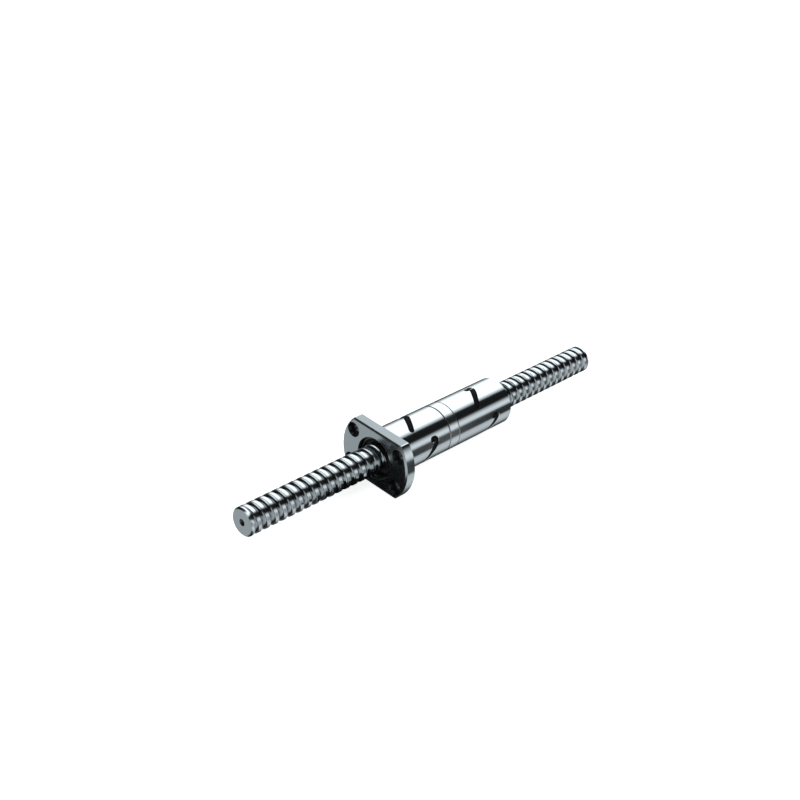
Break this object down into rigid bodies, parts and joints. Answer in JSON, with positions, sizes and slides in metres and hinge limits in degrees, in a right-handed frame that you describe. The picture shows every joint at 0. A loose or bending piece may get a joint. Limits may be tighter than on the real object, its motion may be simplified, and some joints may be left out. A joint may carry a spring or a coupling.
{
  "type": "ball screw assembly",
  "caption": "Ground ball screw shaft with a preloaded double ball nut: a flanged nut and a plain nut joined by a spacer ring, with inset return deflectors.",
  "frame": {"origin": "on the screw axis at half the shaft's length, which is the centre of the object's box", "axes": "+X along the screw from the front end, nearest the flange's bolt faces, to the back end; +Z normal to the two flats of the flange; +Y along the flange's long axis"},
  "size_m": [0.243, 0.044, 0.0306],
  "materials": {
    "ground_steel": "precision ground",
    "polished_steel": "ground and polished",
    "spacer_steel": "ground and polished",
    "spring_steel": "black oxide",
    "ball_steel": "lapped",
    "pin_steel": "ground",
    "wiper_polymer": "matt moulded",
    "deflector_polymer": "satin moulded"
  },
  "bodies": {
    "shaft": {"screw_shaft": "ground_steel"},
    "wipers": {"front_wiper": "wiper_polymer", "rear_wiper": "wiper_polymer"},
    "nut": {"flanged_nut": "polished_steel", "plain_nut": "polished_steel", "preload_spacer": "spacer_steel", "front_retaining_ring": "spring_steel", "rear_retaining_ring": "spring_steel", "return_deflector_1": "deflector_polymer", "return_deflector_2": "deflector_polymer", "return_deflector_3": "deflector_polymer", "return_deflector_4": "deflector_polymer", "return_deflector_5": "deflector_polymer", "return_deflector_6": "deflector_polymer", "ball_row_1": "ball_steel", "ball_row_2": "ball_steel", "ball_row_3": "ball_steel", "ball_row_4": "ball_steel", "ball_row_5": "ball_steel", "ball_row_6": "ball_steel", "locating_pin_1": "pin_steel", "locating_pin_2": "pin_steel"}
  },
  "joints": [
    {"name": "nut_travel", "type": "slide", "parent": "shaft", "child": "wipers", "axis": [1, 0, 0], "range_m": [-0.0801, 0.0701]},
    {"name": "nut_turn", "type": "hinge", "parent": "wipers", "child": "nut", "pos_m": [0, 0, 0], "axis": [1, 0, 0], "range_deg": [-5760, 5040]}
  ],
  "couplings": [
    {"joint": "nut_travel", "follows": "nut_turn", "m_per_rad": 0.00079577}
  ]
}
